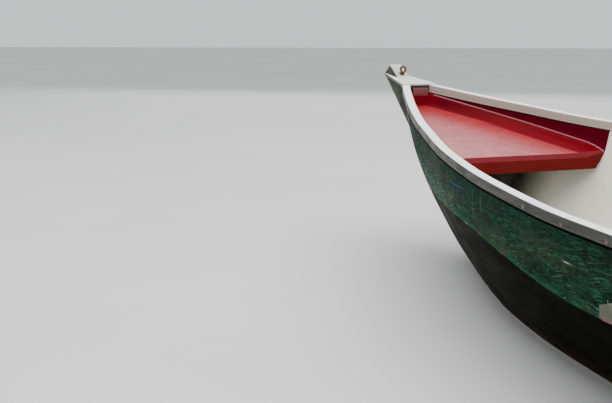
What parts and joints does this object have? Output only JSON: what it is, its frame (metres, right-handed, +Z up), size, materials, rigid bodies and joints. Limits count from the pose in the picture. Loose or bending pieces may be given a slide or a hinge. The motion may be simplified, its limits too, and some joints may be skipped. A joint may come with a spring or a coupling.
{
  "type": "open motor launch",
  "caption": "Open double-skinned launch with a raked stem, alloy gunwales, red bow platform, side benches and a tiller-steered motor on its transom.",
  "frame": {"origin": "on the waterline and the centre plane, 2.9 m ahead of the transom", "axes": "+X to the bow, +Y to port, +Z up"},
  "size_m": [6.2449, 1.81, 1.3093],
  "materials": {
    "hull_green": "scuffed dark green moulded hull, near black below the water",
    "liner_cream": "cream moulded liner",
    "stem_paint": "dark grey green paint, worn to brown",
    "alloy": "worn alloy rail",
    "eye_copper": "brown weathered metal",
    "moulding_red": "glossy red moulding",
    "sole_grey": "grey non-slip sole",
    "bench_green": "sea green moulding",
    "black_plastic": "black plastic",
    "pad_rubber": "grey beige rubbing pad",
    "guard_steel": "light grey steel tube",
    "board_wood": "varnished board",
    "black_metal": "black paint",
    "bracket_green": "bright green paint",
    "leg_steel": "satin steel tube",
    "cap_white": "plain white cap",
    "grip_rubber": "black rubber grip"
  },
  "bodies": {
    "hull": {"hull_shell": "hull_green", "inner_liner": "liner_cream", "stem_bar": "stem_paint", "stem_cap": "alloy", "stem_head": "stem_paint", "breasthook_plate": "alloy", "mooring_eye": "eye_copper", "gunwale_port": "alloy", "gunwale_starboard": "alloy", "transom_cap": "alloy", "bow_moulding": "moulding_red", "cockpit_sole": "sole_grey", "bench_port": "bench_green", "bench_starboard": "bench_green", "battery_port": "black_plastic", "battery_starboard": "black_plastic", "keel_strip": "stem_paint", "skeg": "hull_green", "side_pad_port": "pad_rubber", "side_pad_starboard": "pad_rubber", "motor_guard": "guard_steel", "motor_board": "board_wood", "clamp_bracket": "black_metal", "clamp_screw_port": "guard_steel", "clamp_screw_starboard": "guard_steel"},
    "tilt_unit": {"swivel_bracket": "bracket_green"},
    "steer_unit": {"motor_leg": "leg_steel", "head_tray": "black_plastic", "motor_cap": "cap_white", "tiller_bracket": "black_metal", "motor_pod": "black_metal", "pod_fin": "black_metal"},
    "tiller": {"tiller_arm": "black_metal", "tiller_grip": "grip_rubber"},
    "propeller_unit": {"propeller": "black_plastic"}
  },
  "joints": [
    {"name": "motor_tilt", "type": "hinge", "parent": "hull", "child": "tilt_unit", "pos_m": [-2.982, 0, 0.503], "axis": [0, 1, 0], "range_deg": [0, 60]},
    {"name": "motor_steer", "type": "hinge", "parent": "tilt_unit", "child": "steer_unit", "pos_m": [-3.028, 0, 0.408], "axis": [0, 0, 1], "range_deg": [-40, 40]},
    {"name": "tiller_fold", "type": "hinge", "parent": "steer_unit", "child": "tiller", "pos_m": [-2.854, 0, 0.728], "axis": [0, -1, 0], "range_deg": [0, 80]},
    {"name": "propeller_spin", "type": "hinge", "parent": "steer_unit", "child": "propeller_unit", "pos_m": [-3.228, 0, -0.327], "axis": [1, 0, 0], "continuous": true}
  ]
}
